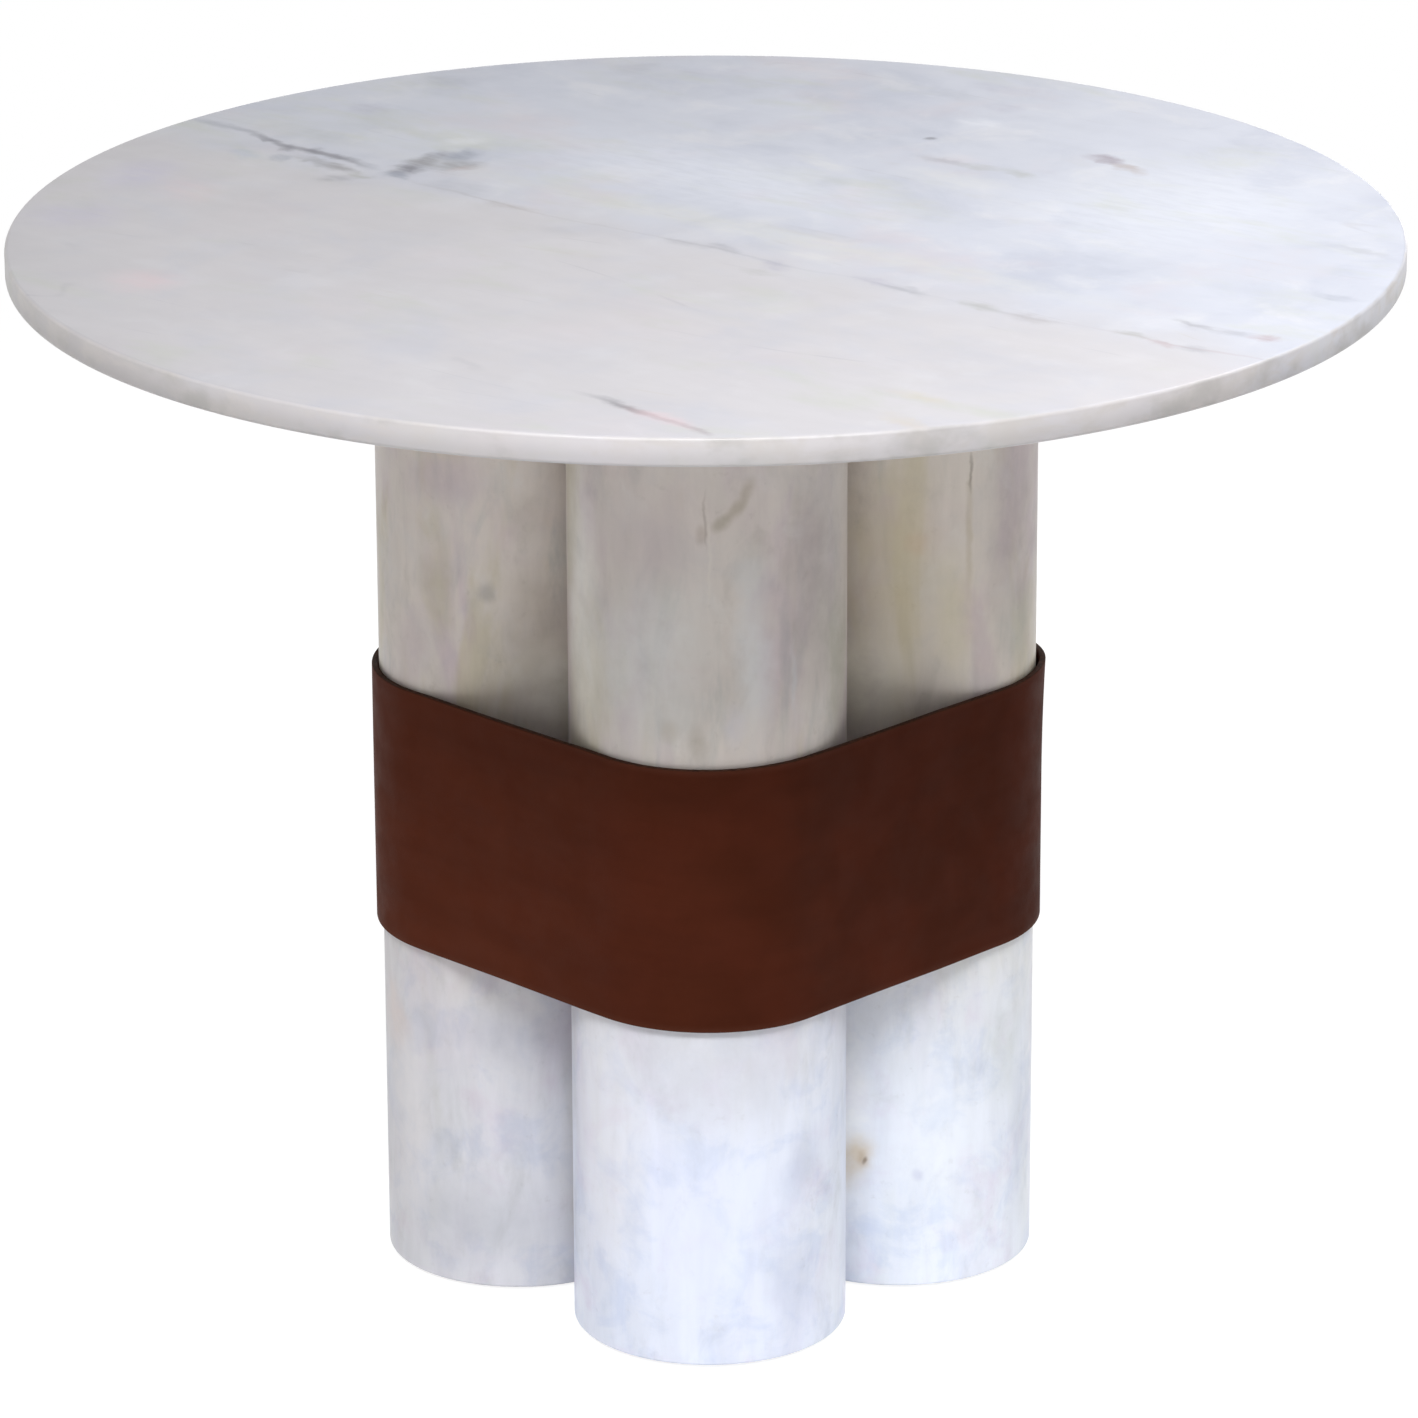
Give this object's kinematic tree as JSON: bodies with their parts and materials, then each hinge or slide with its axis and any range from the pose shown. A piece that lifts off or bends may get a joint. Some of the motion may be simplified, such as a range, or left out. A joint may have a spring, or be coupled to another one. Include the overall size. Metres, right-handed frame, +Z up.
{
  "type": "round table",
  "caption": "Round marble table: a thin slab on a cluster of touching upright marble columns, bound at mid height by a wide leather band.",
  "frame": {"origin": "on the floor, under the middle of the top", "axes": "+Z up; -Y to the front, where one column of the square cluster stands; +X to the right as seen from the front"},
  "size_m": [0.96, 0.96, 0.7519],
  "materials": {
    "marble_top": "polished",
    "marble_column": "honed",
    "leather": "waxed saddle leather",
    "pad": "matt",
    "steel": "satin",
    "brass": "aged"
  },
  "bodies": {
    "root": {"table_top": "marble_top", "column_front": "marble_column", "column_right": "marble_column", "column_back": "marble_column", "column_left": "marble_column", "foot_pad_front": "pad", "foot_pad_right": "pad", "foot_pad_back": "pad", "foot_pad_left": "pad", "top_pad_front": "pad", "top_pad_right": "pad", "top_pad_back": "pad", "top_pad_left": "pad", "top_dowel_front": "steel", "top_dowel_right": "steel", "top_dowel_back": "steel", "top_dowel_left": "steel", "leather_band": "leather", "lap_post_1": "brass", "lap_post_2": "brass", "lap_post_3": "brass", "lap_post_4": "brass", "lap_post_5": "brass", "lap_post_6": "brass", "lap_post_7": "brass", "lap_post_8": "brass", "lap_screw_1": "brass", "lap_screw_2": "brass", "lap_screw_3": "brass", "lap_screw_4": "brass", "lap_screw_5": "brass", "lap_screw_6": "brass", "lap_screw_7": "brass", "lap_screw_8": "brass"}
  },
  "joints": []
}
